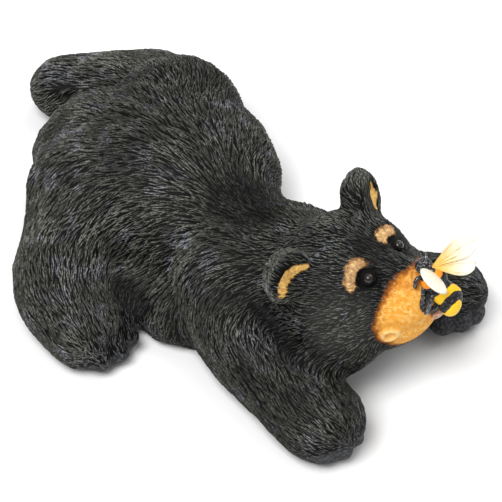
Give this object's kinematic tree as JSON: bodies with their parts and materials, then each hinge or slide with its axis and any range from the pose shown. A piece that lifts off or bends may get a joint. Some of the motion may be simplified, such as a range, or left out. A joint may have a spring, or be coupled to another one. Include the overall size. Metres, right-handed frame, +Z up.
{
  "type": "bear with bee figurine",
  "caption": "Painted cast resin figurine of a black bear cub lying on its belly, looking up at a bee on its nose.",
  "frame": {"origin": "on the ground under the middle of the figurine's box", "axes": "+Z up, the bear looks along -Y, its right side is at -X"},
  "size_m": [0.132, 0.215, 0.0697],
  "materials": {
    "bear": "cast resin, painted near black with dry-brushed fur, tan muzzle and glossy eyes",
    "bee": "cast resin, painted yellow, orange, black and white"
  },
  "bodies": {
    "root": {"bear": "bear", "bee": "bee"}
  },
  "joints": []
}
